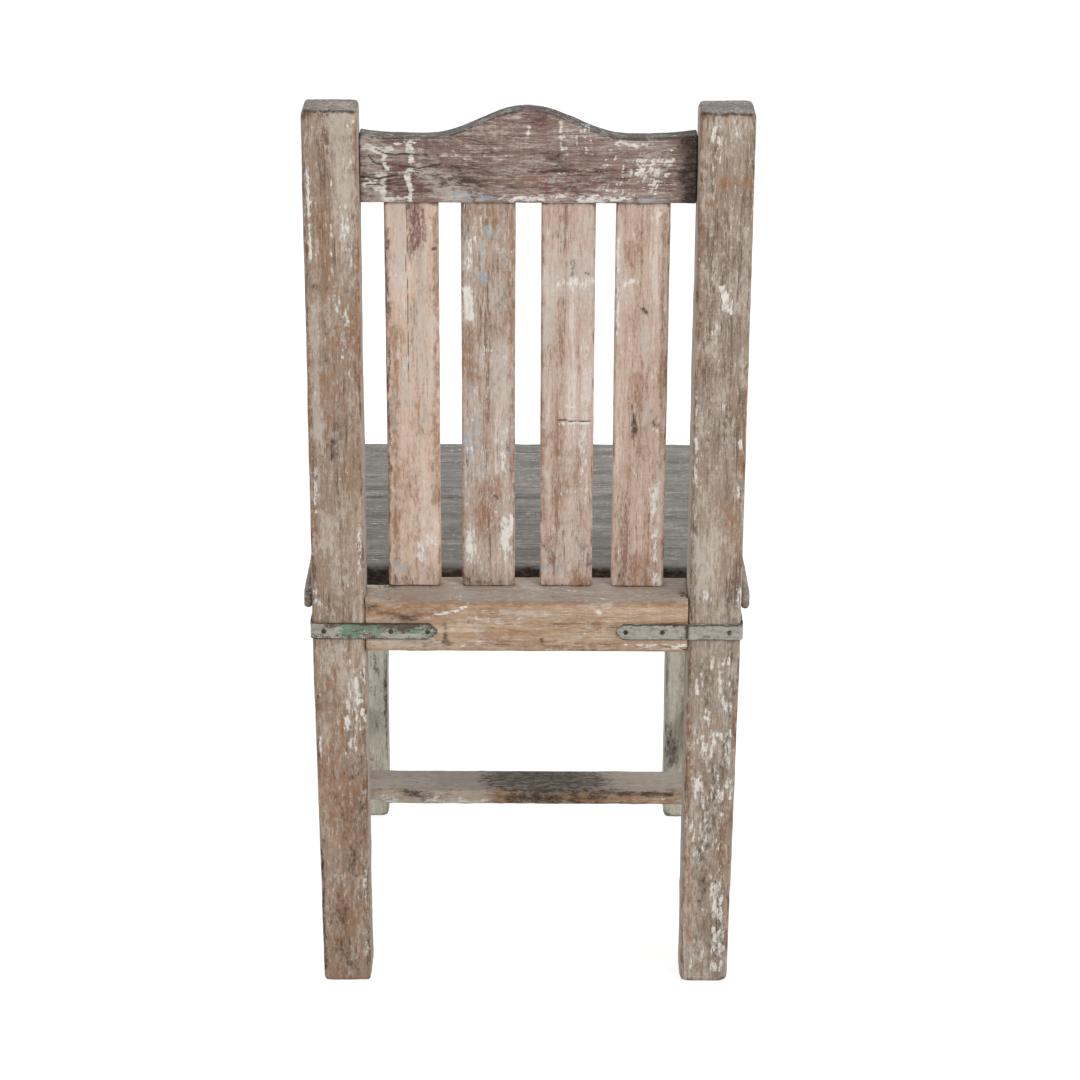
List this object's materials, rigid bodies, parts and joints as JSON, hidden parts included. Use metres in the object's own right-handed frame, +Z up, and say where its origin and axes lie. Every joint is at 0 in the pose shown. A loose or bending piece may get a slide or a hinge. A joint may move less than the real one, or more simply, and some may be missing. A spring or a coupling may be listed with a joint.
{
  "type": "weathered wooden side chair",
  "caption": "Reclaimed timber side chair with a leaning slatted back, humped crest rail, plank seat, stretchers and iron corner straps, all worn and flaked with old paint.",
  "frame": {"origin": "on the floor, under the middle of the chair's overall box", "axes": "+Z up; the chair faces -Y and its back leans towards +Y; +X is the sitter's left"},
  "size_m": [0.4686, 0.5728, 0.9773],
  "materials": {
    "post_wood": "grey-brown weathered wood with whitewash left in the grain and worn orange-brown arrises",
    "crest_wood": "dark purple-brown weathered wood with white scuffs",
    "slat_wood": "pink-tan worn wood with traces of white, red and blue paint",
    "rail_wood": "warm tan-brown worn wood with pale streaks",
    "seat_paint": "grey-green weathered paint over fine grain",
    "leg_paint": "pale greenish-grey worn paint",
    "strap_iron": "old green paint, rust and white residue on iron",
    "nail_iron": "dark rusted iron"
  },
  "bodies": {
    "root": {"rear_post_left": "post_wood", "rear_post_right": "post_wood", "crest_rail": "crest_wood", "back_slat_1": "slat_wood", "back_slat_2": "slat_wood", "back_slat_3": "slat_wood", "back_slat_4": "slat_wood", "rear_seat_rail": "rail_wood", "front_leg_left": "leg_paint", "front_leg_right": "leg_paint", "front_seat_rail": "post_wood", "side_seat_rail_left": "post_wood", "side_seat_rail_right": "post_wood", "side_stretcher_left": "leg_paint", "side_stretcher_right": "leg_paint", "cross_stretcher": "leg_paint", "seat_plank_front": "seat_paint", "seat_plank_rear": "seat_paint", "seat_edge_left": "seat_paint", "seat_edge_right": "seat_paint", "corner_strap_left": "strap_iron", "corner_strap_right": "strap_iron", "strap_nail_left_1": "nail_iron", "strap_nail_left_2": "nail_iron", "strap_nail_left_3": "nail_iron", "strap_nail_left_4": "nail_iron", "strap_nail_left_5": "nail_iron", "strap_nail_right_1": "nail_iron", "strap_nail_right_2": "nail_iron", "strap_nail_right_3": "nail_iron", "strap_nail_right_4": "nail_iron", "strap_nail_right_5": "nail_iron"}
  },
  "joints": []
}
